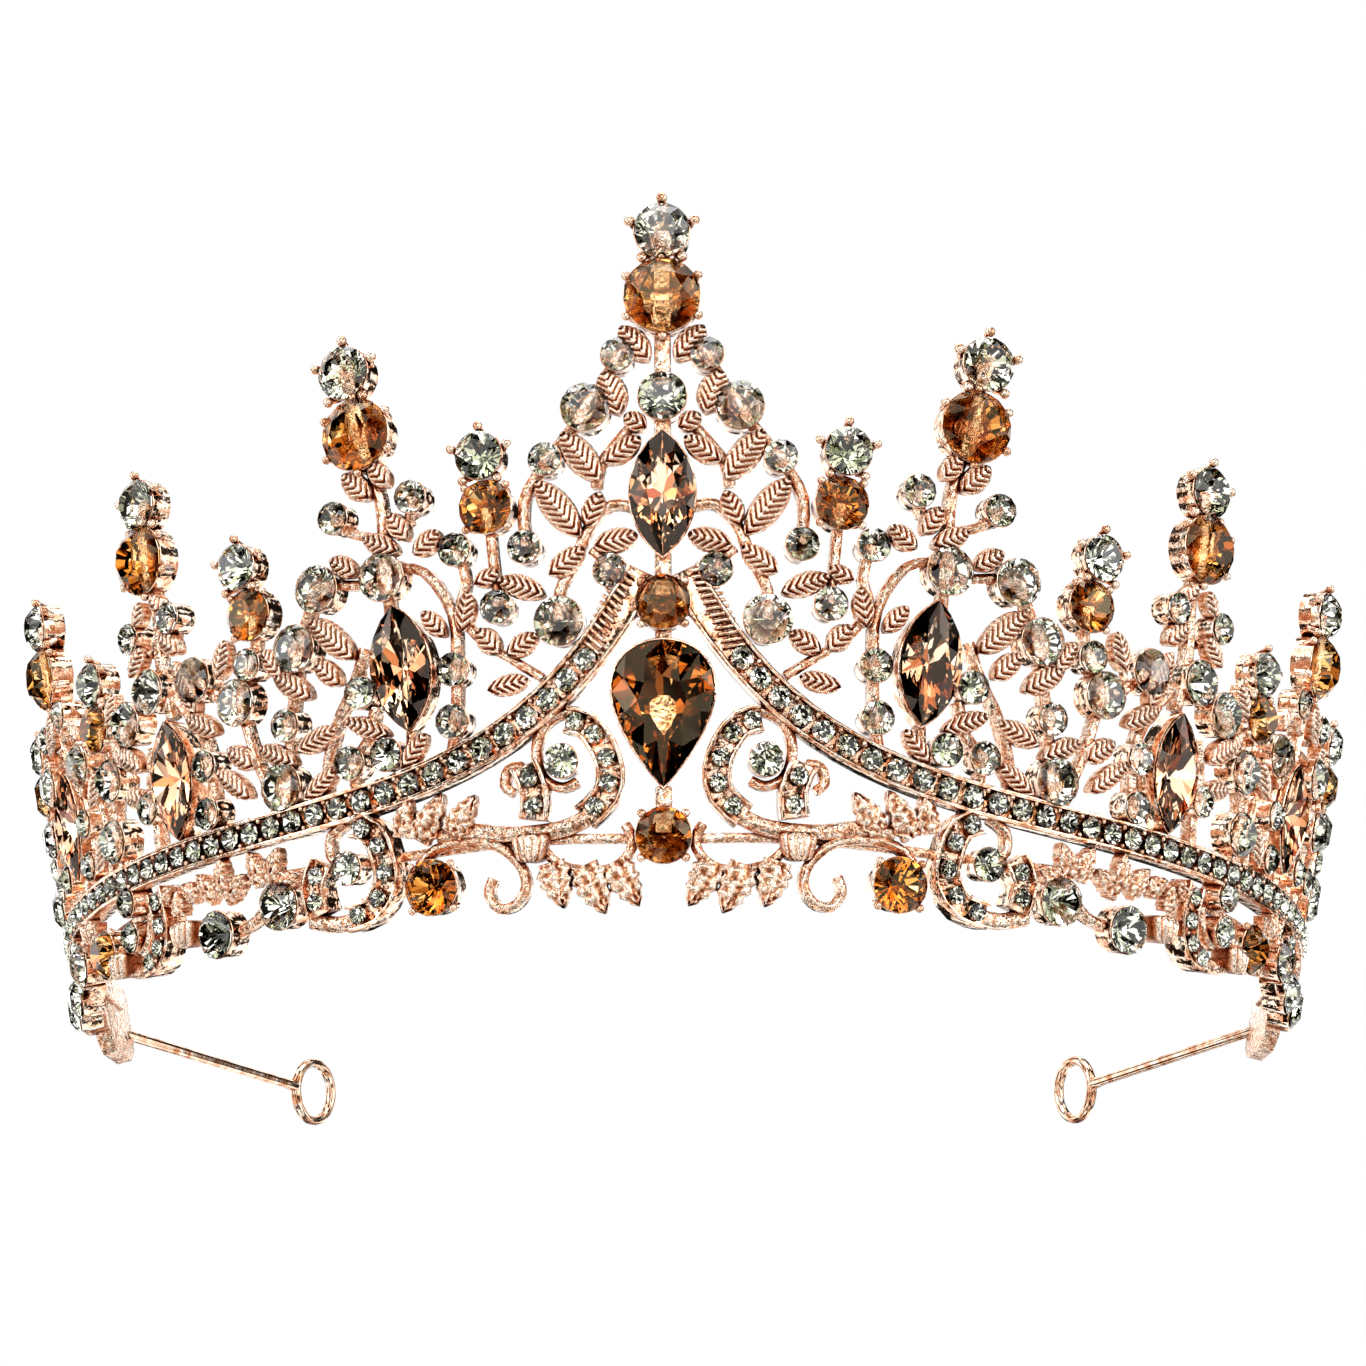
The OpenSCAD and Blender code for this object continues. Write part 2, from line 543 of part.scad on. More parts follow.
// A fluted shell: ribs side by side, longest in the middle
module shell_ribs() {
    ribs = 5;
    for (i = [0 : ribs - 1]) {
        x = (i - (ribs - 1) / 2) * 0.85;
        half = 1.3 - 0.12 * x * x;
        translate([x, 0, -metal_t + 0.4])
            linear_extrude(metal_t - 0.2)
                square([0.6, 2 * half], center = true);
    }
    translate([0, 0, -metal_t + 0.2]) linear_extrude(1) square([4.2, 1.2], center = true);
}
module shells() color(rose) both_sides() at_each(SHELLS) shell_ribs();

module ribbon_band() color(rose) both_sides() channel(RIBBON, ribbon_w);
module scrolls() color(rose) both_sides() for (s = SCROLLS) channel(smooth(s, 2), scroll_w);
module curls() color(rose) both_sides() for (c = CURLS) branch(c, 0.95);
module scroll_tails() color(rose) both_sides() for (t = TAILS) branch(t, 1.5);

// The rail that runs behind the scrolls from one end of the band to the other
rail_t = 0.9;
module back_rail() {
    half = rail_t / 2;
    back = -metal_t - 0.3;
    profile = [[-half, back], [half, back], [half, back + rail_t], [-half, back + rail_t]];
    left = [for (i = [len(RAIL) - 1 : -1 : 1]) [-RAIL[i].x, RAIL[i].y]];
    color(rose) strand(concat(left, RAIL), profile, [[0, 1, 2, 3]]);
}

// ---- Ends ----
plate_u = 98.5;
plate_v = 5.6;
plate_size = [9, 10];
module end_plates()
    color(rose) both_sides() on_wall([plate_u, plate_v])
        translate([0, 0, -metal_t]) linear_extrude(metal_t - 0.5)
            intersection() {
                square(plate_size, center = true);
                circle(5.6);
            }

// Each loop is a flat-sided ring on a straight arm, soldered to the end plate.
arm_turn = 24.5;
arm_v = 4.3;
ring_t = wire_d + 0.2;
loop_outer_r = loop_hole_r + wire_d;
loop_away = arm_length + loop_outer_r - 0.3;
// side is 1 for the right loop and -1 for the left one
module loop_arm(side) {
    root = wall_point(plate_u + 3, arm_v, -1.4);
    turn = heading(angle_at(plate_u)) + arm_turn;
    translate([side * root.x, root.y, root.z]) rotate([0, 0, side > 0 ? turn : 180 - turn]) {
        translate([-1.5, 0, 0]) rotate([0, 90, 0]) cylinder(d = wire_d, h = arm_length + 1.2);
        translate([loop_away, ring_t / 2, 0]) rotate([90, 0, 0])
            difference() {
                cylinder(r = loop_outer_r, h = ring_t);
                translate([0, 0, -1]) cylinder(r = loop_hole_r, h = ring_t + 2);
            }
    }
}
module loop_arm_right() color(rose) loop_arm(1);
module loop_arm_left() color(rose) loop_arm(-1);

centre_spine();
crest_stems();
crest_leaves();
tall_spire_stems();
tall_spire_leaves();
short_spire_stems();
short_spire_leaves();
ribbon_band();
scrolls();
scroll_tails();
curls();
back_rail();
bow_leaves();
acanthus_leaves();
shells();
end_plates();
loop_arm_left();
loop_arm_right();
pear_bezel();
marquise_bezels();
champagne_cups_large();
champagne_cups_small();
clear_cups_large();
clear_cups_medium();
clear_cups_small();
tip_claws();
cup_claws();
pear_stone();
marquise_stones();
champagne_stones_large();
champagne_stones_small();
clear_stones_large();
clear_stones_medium();
clear_stones_small();
ribbon_stones();
scroll_stones();
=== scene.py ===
"""The bridal tiara's looks: cut stones with foiled backs, cups with claws, ribbed leaves and
polished rose gold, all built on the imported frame. Every stone, cup, claw and leaf takes its
place, size and direction from the frame's own solids."""

import math
import random

import bmesh
import bpy
import numpy as np
from mathutils import Matrix, Vector, noise as solid_noise


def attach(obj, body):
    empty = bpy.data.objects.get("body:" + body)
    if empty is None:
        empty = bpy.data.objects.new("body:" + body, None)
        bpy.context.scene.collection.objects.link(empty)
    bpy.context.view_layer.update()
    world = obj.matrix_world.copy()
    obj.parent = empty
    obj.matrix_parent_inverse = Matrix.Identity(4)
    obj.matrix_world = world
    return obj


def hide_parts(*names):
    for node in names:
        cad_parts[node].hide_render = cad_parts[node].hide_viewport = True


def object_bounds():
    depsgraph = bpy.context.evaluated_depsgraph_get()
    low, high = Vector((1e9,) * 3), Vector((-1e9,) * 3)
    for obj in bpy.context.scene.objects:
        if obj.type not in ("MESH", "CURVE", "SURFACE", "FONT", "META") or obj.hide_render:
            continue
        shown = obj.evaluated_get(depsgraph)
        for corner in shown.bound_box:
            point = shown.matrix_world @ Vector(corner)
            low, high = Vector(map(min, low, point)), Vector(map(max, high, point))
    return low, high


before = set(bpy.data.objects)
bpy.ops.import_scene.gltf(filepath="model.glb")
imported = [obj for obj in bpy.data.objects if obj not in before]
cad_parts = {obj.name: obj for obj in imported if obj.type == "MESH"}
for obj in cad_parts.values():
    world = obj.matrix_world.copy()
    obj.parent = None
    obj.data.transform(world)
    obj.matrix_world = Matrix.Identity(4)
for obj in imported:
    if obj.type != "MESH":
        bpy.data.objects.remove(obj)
cad_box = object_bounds()

MM = 0.001
UPRIGHT = np.array((0.0, 0.0, 1.0))
# The band's wall stands round this upright line
BAND_MIDDLE = np.array((0.0, 0.0172, 0.0))
GOLDEN_TURN = math.radians(137.5)


# ---- Reading the frame ----
# Points closer than a micrometre are one point
WELD_DIGITS = 6
# Normals whose dot product is over this belong to one flat area
SAME_WAY = 0.9995
# A seat's front points away from the band's middle by at least this dot product
FACES_OUT = 0.6


def solids(node):
    """The separate solids of a CAD node, each as its points and its triangles."""
    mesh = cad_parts[node].data
    mesh.calc_loop_triangles()
    points = np.empty(len(mesh.vertices) * 3)
    mesh.vertices.foreach_get("co", points)
    triangles = np.empty(len(mesh.loop_triangles) * 3, int)
    mesh.loop_triangles.foreach_get("vertices", triangles)
    points = points.reshape(-1, 3).round(WELD_DIGITS)
    points, welded = np.unique(points, axis=0, return_inverse=True)
    triangles = welded.reshape(-1)[triangles].reshape(-1, 3)
    a, b, c = triangles.T
    triangles = triangles[(a != b) & (b != c) & (c != a)]
    label = np.arange(len(points))
    while True:
        lowest = label[triangles].min(axis=1)
        spread = label.copy()
        for corner in range(3):
            np.minimum.at(spread, triangles[:, corner], lowest)
        spread = spread[spread]
        if (spread == label).all():
            break
        label = spread
    found = []
    for root in np.unique(label):
        chosen = triangles[label[triangles[:, 0]] == root]
        used, local = np.unique(chosen, return_inverse=True)
        found.append((points[used], local.reshape(-1, 3)))
    return found


def facing(points, triangles):
    """The direction of a solid's largest flat area, away from the middle of the band."""
    a, b, c = (points[triangles[:, corner]] for corner in range(3))
    normals = np.cross(b - a, c - a)
    areas = np.linalg.norm(normals, axis=1)
    normals = normals[areas > 0] / areas[areas > 0, None]
    areas = areas[areas > 0]
    outward = (points.mean(axis=0) - BAND_MIDDLE) * (1, 1, 0)
    outward = outward / np.linalg.norm(outward)
    candidates = np.unique(normals.round(3), axis=0)
    candidates = candidates[np.abs(candidates @ outward) > FACES_OUT]
    shares = (np.abs(candidates @ normals.T) > SAME_WAY) @ areas
    way = candidates[np.argmax(shares)]
    way = way / np.linalg.norm(way)
    return way if way @ outward > 0 else -way


class Seat:
    """A solid's own frame: x along the band, y up the wall and z outward."""

    def __init__(self, points, triangles):
        out = facing(points, triangles)
        up = UPRIGHT - out * out[2]
        up = up / np.linalg.norm(up)
        self.axes = np.array((np.cross(up, out), up, out))
        local = points @ self.axes.T
        self.low = local.min(axis=0)
        self.high = local.max(axis=0)
        self.middle = (self.low + self.high) / 2
        self.middle[2] = 0
        self.local = local - self.middle
        reach = np.linalg.norm(self.local[:, :2], axis=1)
        self.radius = reach.max()
        self.girdle = self.local[reach > 0.98 * self.radius, 2].mean()
        self.top = self.high[2]
        self.back = self.low[2]

    def matrix(self, height=0.0, turn=0.0):
        """Places a shape drawn round z on this seat, at a height along its outward axis."""
        origin = (self.middle + (0, 0, height)) @ self.axes
        place = Matrix(self.axes.T.tolist()).to_4x4()
        place.translation = Vector(origin)
        return place @ Matrix.Rotation(turn, 4, "Z")

    def long_way(self):
        """The angle of the solid's long axis in the wall, and its half length and half width."""
        flat = self.local[:, :2]
        _, ways = np.linalg.eigh(flat.T @ flat)
        way = ways[:, 1]
        if way[1] < 0:
            way = -way
        along = flat @ way
        across = flat @ np.array((-way[1], way[0]))
        return math.atan2(way[1], way[0]), along.max(), across.max()


def seats(node):
    return [Seat(points, triangles) for points, triangles in solids(node)]


# ---- Making pieces ----
def new_piece(name, mesh, nodes, material, smooth_under=None):
    """Adds a finished piece that rides on the tiara and stands for the given CAD nodes."""
    piece = bpy.data.objects.new(name, mesh)
    bpy.context.scene.collection.objects.link(piece)
    for one in material if isinstance(material, (list, tuple)) else [material]:
        mesh.materials.append(one)
    if smooth_under is not None:
        mesh.shade_smooth()
        mesh.set_sharp_from_angle(angle=math.radians(smooth_under))
    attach(piece, "root")
    if nodes:
        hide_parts(*nodes)
    return piece


def finished_mesh(name, bm):
    bmesh.ops.recalc_face_normals(bm, faces=bm.faces)
    mesh = bpy.data.meshes.new(name)
    bm.to_mesh(mesh)
    bm.free()
    return mesh


def add_rings(bm, place, rings):
    """A closed skin over rings of points that all have the same count, drawn round z."""
    made = [[bm.verts.new(place @ Vector(point)) for point in ring] for ring in rings]
    count = len(made[0])
    for lower, upper in zip(made, made[1:]):
        for i in range(count):
            j = (i + 1) % count
            bm.faces.new((lower[i], lower[j], upper[j], upper[i]))
    bm.faces.new(made[0][::-1])
    bm.faces.new(made[-1])


def turned_rings(profile, count):
    """Rings for a shape turned round z, from its profile of (radius, height)."""
    angles = [2 * math.pi * i / count for i in range(count)]
    return [[(r * math.cos(a), r * math.sin(a), z) for a in angles] for r, z in profile]


# ---- Stones ----
def round_outline(count):
    angles = [2 * math.pi * i / count for i in range(count)]
    return [(math.cos(a), math.sin(a)) for a in angles]


def oval_outline(half_l, half_w, count):
    """A pointed oval that starts at its lower tip, from two arcs that meet at the tips."""
    radius = (half_l * half_l + half_w * half_w) / (2 * half_w)
    reach = math.asin(half_l / radius)
    half = count // 2
    right = []
    for i in range(half):
        a = -reach + 2 * reach * i / half
        right.append((radius * math.cos(a) - (radius - half_w), radius * math.sin(a)))
    return right + [(-x, -y) for x, y in right]


def drop_outline(half_l, half_w, count):
    """A drop with its point down, the same curve as the frame's pear stone."""
    angles = [2 * math.pi * i / count for i in range(count)]
    return [(1.3 * half_w * math.sin(a) * math.sin(a / 2), -half_l * math.cos(a)) for a in angles]


class Cut:
    """Proportions of a cut stone, as shares of its outline."""

    def __init__(self, table=0.54, crown=0.42, belt=0.80, belt_rise=0.52, depth=0.78, keel=0.3,
                 culet_shade=0.6):
        self.table = table
        self.crown = crown
        self.belt = belt
        self.belt_rise = belt_rise
        self.depth = depth
        self.keel = keel
        # Painted shade: how bright the foil is around the point behind, against the rest of it
        self.culet_shade = culet_shade


# The materials' places on a stone
GLASS_SIDE = 0
FOIL_SIDE = 1
# The colour layer that holds each facet's painted shade and reflection, a brightness from dark to
# bright
FACET_SHADE = "Facet"
# Height of a stone's girdle, and how far a stone sits above the frame's own
GIRDLE = 0.1 * MM
LIFT = 0.12 * MM


def add_gem(bm, place, outline, size, cut, dice, room=math.inf):
    """A brilliant cut over any outline, with a glass front and a foiled back. size is what the
    crown's height and the depth are shares of, and room is the height that the stone may rise
    to above its girdle. Each facet behind gets its own painted shade, a brightness from the seeded
    dice."""
    count = len(outline)
    # The layer for each facet's painted shade and reflection
    tint = bm.loops.layers.float_color[FACET_SHADE]

    def ring(share, height, picks):
        spots = [(outline[k][0] * share, outline[k][1] * share, height) for k in picks]
        return {k: bm.verts.new(place @ Vector(spot)) for k, spot in zip(picks, spots)}

    def face(side, *corners, lit=1.0):
        made = bm.faces.new(corners)
        made.material_index = side
        # Painted shade and reflection: a random brightness for each facet, scaled by lit
        shade = lit * dice.random()
        for loop in made.loops:
            loop[tint] = (shade, shade, shade, 1)

    mains = range(0, count, 2)
    halves = range(1, count, 2)
    everyone = range(count)
    edge = GIRDLE
    crown = min(cut.crown * size, room - edge)
    depth = cut.depth * size
    table = ring(cut.table, edge + crown, mains)
    belt = ring(cut.belt, edge + crown * cut.belt_rise, halves)
    upper = ring(1, edge, everyone)
    lower = ring(1, 0, everyone)
    keel = ring(cut.keel, -depth * (1 - cut.keel * 0.94), halves)
    culet = bm.verts.new(place @ Vector((0, 0, -depth)))
    face(GLASS_SIDE, *[table[k] for k in mains])
    for k in mains:
        before = (k - 1) % count
        after = (k + 1) % count
        following = (k + 2) % count
        face(GLASS_SIDE, table[k], belt[after], table[following])
        face(GLASS_SIDE, table[k], belt[before], upper[k], belt[after])
        face(GLASS_SIDE, belt[after], upper[k], upper[after])
        face(GLASS_SIDE, belt[after], upper[after], upper[following])
        # The facets around the point behind get the cut's darker painted shade
        face(FOIL_SIDE, culet, keel[after], lower[k], keel[before], lit=cut.culet_shade)
        face(FOIL_SIDE, keel[after], lower[after], lower[k])
        face(FOIL_SIDE, keel[after], lower[following], lower[after])
    for k in everyone:
        after = (k + 1) % count
        face(FOIL_SIDE, upper[k], lower[k], lower[after], upper[after])


def new_gems():
    """An empty mesh that can hold each facet's tint."""
    bm = bmesh.new()
    bm.loops.layers.float_color.new(FACET_SHADE)
    return bm


def round_gems(name, node, cut, glass, foil, facets=16, grow=0.27 * MM, proud=False):
    """Round stones that fill their cups: they cover most of the rim, as pressed stones do. Proud
    stones may rise above the frame's own."""
    bm = new_gems()
    dice = random.Random(name)
    for i, seat in enumerate(seats(node)):
        place = seat.matrix(seat.girdle + LIFT, i * GOLDEN_TURN)
        r = seat.radius + grow
        room = math.inf if proud else seat.top - seat.girdle - LIFT
        outline = [(x * r, y * r) for x, y in round_outline(facets)]
        add_gem(bm, place, outline, r, cut, dice, room)
    return new_piece(name, finished_mesh(name, bm), [node], [glass, foil])


def marquise_gems(name, node, cut, glass, foil, facets=16, grow=0.25 * MM):
    bm = new_gems()
    dice = random.Random(name)
    for seat in seats(node):
        angle, half_l, half_w = seat.long_way()
        place = seat.matrix(seat.girdle + LIFT, angle - math.pi / 2)
        outline = oval_outline(half_l + grow, half_w + grow, facets)
        add_gem(bm, place, outline, half_w, cut, dice, seat.top - seat.girdle - LIFT)
    return new_piece(name, finished_mesh(name, bm), [node], [glass, foil])


def pear_gem(name, node, cut, glass, foil, facets=20, grow=0.25 * MM):
    bm = new_gems()
    dice = random.Random(name)
    for seat in seats(node):
        half_l = (seat.high[1] - seat.low[1]) / 2 + grow
        half_w = (seat.high[0] - seat.low[0]) / 2 + grow
        place = seat.matrix(seat.girdle + LIFT)
        add_gem(bm, place, drop_outline(half_l, half_w, facets), half_w, cut, dice,
                seat.top - seat.girdle - LIFT)
    return new_piece(name, finished_mesh(name, bm), [node], [glass, foil])


# ---- Cups ----
# Thickness of the round cups' walls
LIP = 0.2 * MM
# The rims stay this far below the frame's, so that they meet the stones' girdles
RIM_DROP = 0.16 * MM


def cup_profile(r, depth, wall):
    """Outer wall, rounded rim, and inner wall down to the seat, as (radius, height)."""
    rim = wall / 2
    inside = r - wall
    return [
        (r * 0.55, -depth), (r * 0.9, -depth), (r * 0.94, -depth * 0.96),
        (r * 0.96, -depth * 0.5), (r * 0.985, -rim), (r, -rim * 0.5), (r - rim * 0.3, 0),
        (r - rim, rim * 0.25), (inside + rim * 0.3, 0), (inside, -rim), (inside, -depth * 0.45),
        (inside * 0.7, -depth * 0.8),
    ]


def cups(name, node, wall, material, turns=40):
    bm = bmesh.new()
    for seat in seats(node):
        place = seat.matrix(seat.top - RIM_DROP)
        depth = seat.top - RIM_DROP - seat.back
        add_rings(bm, place, turned_rings(cup_profile(seat.radius, depth, wall), turns))
    return new_piece(name, finished_mesh(name, bm), [node], material, 40)


def add_claw(bm, cup, ball_at, ball_r, depth):
    """A ball on the end of a short finger that rises from the foot of its cup."""
    local = ball_at @ cup.axes.T - cup.middle
    way = math.atan2(local[1], local[0])
    place = cup.matrix(0, way)
    out = math.hypot(local[0], local[1])
    bmesh.ops.create_uvsphere(
        bm, u_segments=16, v_segments=10, radius=ball_r,
        matrix=place @ Matrix.Translation((out, 0, local[2])) @ Matrix.Scale(0.9, 4, (0, 0, 1)))
    foot = cup.radius * 0.9
    steps = [(0.0, 0.95), (0.35, 0.95), (0.7, 0.85), (1.0, 0.72)]
    rings = []
    for along, width in steps:
        z = local[2] - depth * (1 - along)
        x = foot + (out - foot) * along ** 1.4
        w = ball_r * width
        rings.append([(x + w * math.cos(a) * 0.9, w * math.sin(a), z)
                      for a in [2 * math.pi * k / 10 for k in range(10)]])
    add_rings(bm, place, rings)


def claws(name, node, cup_nodes, depth, material):
    """Claws for the nearest cups, at the frame's own claw balls."""
    around = [seat for cup_node in cup_nodes for seat in seats(cup_node)]
    middles = np.array([(s.middle + (0, 0, s.top)) @ s.axes for s in around])
    bm = bmesh.new()
    for points, _ in solids(node):
        low = points.min(axis=0)
        high = points.max(axis=0)
        centre = (low + high) / 2
        nearest = around[np.argmin(np.linalg.norm(middles - centre, axis=1))]
        add_claw(bm, nearest, centre, (high - low).max() / 2, depth)
    return new_piece(name, finished_mesh(name, bm), [node], material, 40)


def bezels(name, node, outline_of, wall, material):
    """A rounded wall around each long stone, with a stepped inner edge."""
    bm = bmesh.new()
    for seat in seats(node):
        place, outline = outline_of(seat)
        depth = seat.top - RIM_DROP - seat.back
        rings = []
        steps = [(0.3, -depth, 0), (0.96, -depth, 0), (0.98, -depth * 0.5, 0), (1, -0.15 * MM, 0),
                 (1, -0.04 * MM, 0.04 * MM), (1, 0, 0.1 * MM), (1, 0, 0.17 * MM),
                 (1, -0.06 * MM, wall), (1, -depth * 0.5, wall), (0.6, -depth * 0.7, wall)]
        for share, height, inset in steps:
            rings.append([(x * share, y * share, height) for x, y in shrunk(outline, inset)])
        add_rings(bm, place @ Matrix.Translation((0, 0, seat.top - RIM_DROP)), rings)
    return new_piece(name, finished_mesh(name, bm), [node], material, 35)


def shrunk(outline, inset):
    """An outline moved towards its middle by about the same amount all round."""
    return [(x * (1 - inset / math.hypot(x, y)), y * (1 - inset / math.hypot(x, y)))
            for x, y in outline]


def marquise_wall(seat):
    angle, half_l, half_w = seat.long_way()
    return seat.matrix(0, angle - math.pi / 2), oval_outline(half_l, half_w, 40)


def pear_wall(seat):
    half_l = (seat.high[1] - seat.low[1]) / 2
    half_w = (seat.high[0] - seat.low[0]) / 2
    return seat.matrix(0), drop_outline(half_l, half_w, 48)


# ---- Leaves ----
RIB_PITCH = 0.7 * MM
HAMMER_MARK = 0.42 * MM
# A blade never gets narrower than this on either side of its middle
LEAST_HALF_W = 0.03 * MM
# Depth of the pattern pressed into a leaf
GROOVE = 0.32 * MM
# The colour layer that holds the pattern's height, 0 in a hollow and 1 on a ridge; the leaf metal
# paints shade into the hollows from it
RECESS = "Recess"


def leaf_shape(half_l, half_w):
    """A slender pointed leaf: its half width at each share of its length, from -1 to 1."""
    def width(s):
        return half_w * (1 - abs(s) ** 2.2) ** 0.75 + LEAST_HALF_W

    def ridge(q, s):
        slant = half_l * s - abs(q) * width(s) * 1.1
        rib = 0.5 + 0.5 * math.cos(2 * math.pi * slant / RIB_PITCH)
        edge = max(0.0, 1 - abs(abs(q) - 0.86) / 0.16)
        middle = max(0.0, 1 - abs(q) / 0.14)
        return max(rib ** 0.6, edge, middle)
    return width, ridge


def lobe_shape(half_l, half_w, tip):
    """A hammered lobe, broad at its root and toothed along its sides. tip is 1 where the point
    is at the top and -1 where it hangs."""
    def width(s):
        t = (1 + tip * s) / 2
        teeth = 1 + 0.09 * math.cos(2 * math.pi * 4.5 * t)
        outline = min(1.0, 0.72 + 1.2 * t) * (1 - t ** 2.6) ** 0.85
        return half_w * outline * teeth + LEAST_HALF_W

    def ridge(q, s):
        spot = Vector((q * half_w, s * half_l, half_l)) / HAMMER_MARK
        edge = max(0.0, 1 - abs(abs(q) - 0.88) / 0.14)
        middle = max(0.0, 1 - abs(q) / 0.12) * 0.9
        return max(min(1.0, max(0.0, 0.6 + 0.9 * solid_noise.noise(spot))), edge, middle)
    return width, ridge


def shell_shape(half_l, half_w):
    """A fluted shell, wider at its top."""
    def width(s):
        return half_w * (0.82 + 0.18 * s) * (1 - abs(s) ** 6) ** 0.5 + LEAST_HALF_W

    def ridge(q, s):
        return abs(math.cos(2.5 * math.pi * q)) ** 0.6
    return width, ridge


def add_leaf(bm, place, shape, half_l, half_w, back, front):
    """A crowned blade drawn along y, with its shape's pattern pressed into its front."""
    width, ridge_at = shape
    columns = 16
    rows = max(20, round(2 * half_l / RIB_PITCH * 8)) + 1
    recess = bm.loops.layers.float_color[RECESS]
    grid = []
    ridges = {}
    for i in range(rows):
        s = -1 + 2 * i / (rows - 1)
        line = []
        for j in range(columns + 1):
            q = -1 + 2 * j / columns
            ridge = ridge_at(q, s)
            crown = 0.3 * half_w * (1 - q * q) * (1 - abs(s) ** 3)
            height = front - 0.05 * MM + crown - GROOVE * (1 - ridge) - 0.25 * MM * abs(q) ** 8
            vert = bm.verts.new(place @ Vector((width(s) * q, half_l * s, height)))
            ridges[vert] = ridge
            line.append(vert)
        grid.append(line)
    rim = ([line[0] for line in grid] + grid[-1][1:-1]
           + [line[-1] for line in grid[::-1]] + grid[0][1:-1][::-1])
    for lower, upper in zip(grid, grid[1:]):
        for j in range(columns):
            bm.faces.new((lower[j], lower[j + 1], upper[j + 1], upper[j]))
    inverse = place.inverted()
    floor = []
    for vert in rim:
        spot = inverse @ vert.co
        floor.append(bm.verts.new(place @ Vector((spot.x * 0.86, spot.y * 0.96, back))))
        ridges[floor[-1]] = 0.55
    for i, vert in enumerate(rim):
        j = (i + 1) % len(rim)
        bm.faces.new((vert, rim[j], floor[j], floor[i]))
    bm.faces.new(floor)
    for line in grid + [floor]:
        for vert in line:
            height = ridges[vert]
            for loop in vert.link_loops:
                loop[recess] = (height, height, height, 1)


def leaves(name, node, material, tip=None, broader=1.22, longer=1.06):
    """Leaves on the frame's plain blades, a little broader than those are. Slender and ribbed,
    or hammered lobes where a tip's direction is given."""
    bm = bmesh.new()
    bm.loops.layers.float_color.new(RECESS)
    for seat in seats(node):
        angle, half_l, half_w = seat.long_way()
        half_l = half_l * longer
        half_w = half_w * broader
        shape = leaf_shape(half_l, half_w) if tip is None else lobe_shape(half_l, half_w, tip)
        add_leaf(bm, seat.matrix(0, angle - math.pi / 2), shape, half_l, half_w, seat.back,
                 seat.top)
    return new_piece(name, finished_mesh(name, bm), [node], material, 50)


def shells(name, node, material):
    """Small fluted shells that stand a little proud of the frame's."""
    bm = bmesh.new()
    bm.loops.layers.float_color.new(RECESS)
    for seat in seats(node):
        half_w = (seat.high[0] - seat.low[0]) / 2 * 0.9
        half_l = (seat.high[1] - seat.low[1]) / 2
        add_leaf(bm, seat.matrix(), shell_shape(half_l, half_w), half_l, half_w, seat.back,
                 seat.top + 0.3 * MM)
    return new_piece(name, finished_mesh(name, bm), [node], material, 50)


# ---- Cast metal with rounded edges ----
FLAT_UNDER = math.radians(1.5)


def rounded(name, node, material, round_r, sharper_than=28):
    """A copy of a CAD node with its sharp edges rounded."""
    bm = bmesh.new()
    for points, triangles in solids(node):
        verts = [bm.verts.new(point) for point in points]
        for a, b, c in triangles:
            bm.faces.new((verts[a], verts[b], verts[c]))
    bmesh.ops.dissolve_limit(bm, angle_limit=FLAT_UNDER, verts=bm.verts, edges=bm.edges)
    sharp = [edge for edge in bm.edges
             if edge.is_manifold and edge.calc_face_angle(0) > math.radians(sharper_than)]
    bmesh.ops.bevel(bm, geom=sharp, offset=round_r, segments=2, profile=0.5, affect="EDGES",
                    clamp_overlap=True)
    return new_piece(name, finished_mesh(name, bm), [node], material, 40)


def nearest_pairs(places, closest, furthest):
    """Pairs of places that lie next to each other in a row."""
    pairs = []
    for i in range(len(places)):
        for j in range(i + 1, len(places)):
            gap = np.linalg.norm(places[i] - places[j])
            if closest < gap < furthest:
                pairs.append((i, j))
    return pairs


def bead_rows(name, node, spread, ball_r, furthest, material):
    """The small beads that hold a row of stones, two between each stone and the next."""
    row = seats(node)
    places = [(s.middle + (0, 0, s.girdle)) @ s.axes for s in row]
    bm = bmesh.new()
    for i, j in nearest_pairs(places, 0.5 * MM, furthest):
        out = row[i].axes[2] + row[j].axes[2]
        out = out / np.linalg.norm(out)
        along = places[j] - places[i]
        side = np.cross(out, along)
        side = side / np.linalg.norm(side)
        for way in (-1, 1):
            spot = (places[i] + places[j]) / 2 + side * spread * way + out * 0.16 * MM
            bmesh.ops.create_icosphere(bm, subdivisions=2, radius=ball_r,
                                       matrix=Matrix.Translation(Vector(spot)))
    return new_piece(name, finished_mesh(name, bm), [], material, 60)


def add_bar(bm, start, end, out, thick):
    """A short rounded bar from start to end, raised along out."""
    along = end - start
    length = np.linalg.norm(along)
    along = along / length
    place = Matrix(np.array((along, np.cross(out, along), out)).T.tolist()).to_4x4()
    place.translation = Vector((start + end) / 2)
    rings = []
    for share, size in ((-0.5, 0.35), (-0.46, 0.8), (-0.3, 1), (0.3, 1), (0.46, 0.8), (0.5, 0.35)):
        rings.append([(share * length, size * thick * math.cos(a), size * thick * math.sin(a))
                      for a in [2 * math.pi * k / 8 for k in range(8)]])
    add_rings(bm, place, rings)


